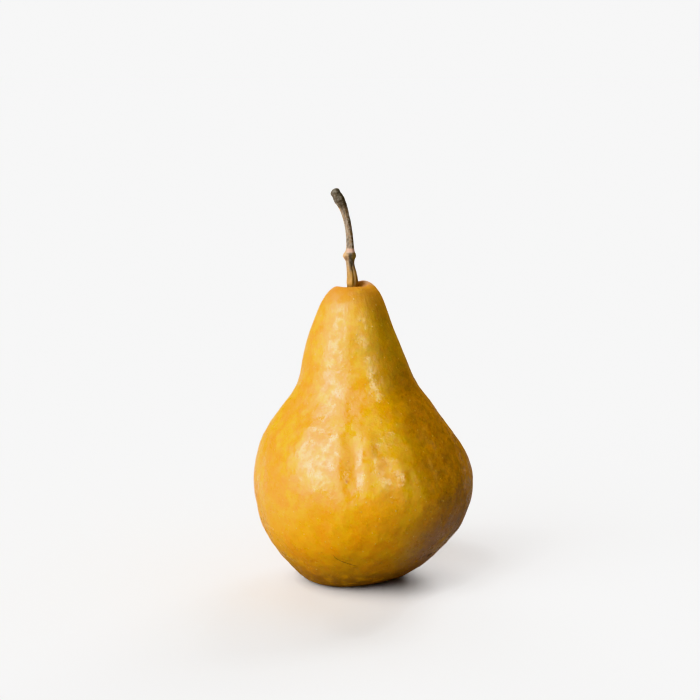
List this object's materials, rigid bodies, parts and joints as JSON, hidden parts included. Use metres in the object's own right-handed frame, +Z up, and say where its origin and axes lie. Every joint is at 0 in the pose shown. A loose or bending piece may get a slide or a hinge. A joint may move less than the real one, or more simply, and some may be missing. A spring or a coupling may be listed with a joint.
{
  "type": "pear",
  "caption": "Ripe bosc pear with a russet-gold skin, a tapering neck, a curved woody stem and a dried calyx in its base.",
  "frame": {"origin": "on the surface the pear stands on, under the middle of its bounding box", "axes": "+Z up along the height, from the base to the stem's tip; +X to the right in the picture; +Y away from the camera"},
  "size_m": [0.0748, 0.073, 0.1326],
  "materials": {
    "skin": "satin, waxy pear skin, golden with russet",
    "stem_bark": "matte, dry bark",
    "calyx_dry": "matte, dry and brown"
  },
  "bodies": {
    "root": {"fruit": "skin", "stem": "stem_bark", "calyx": "calyx_dry"}
  },
  "joints": []
}
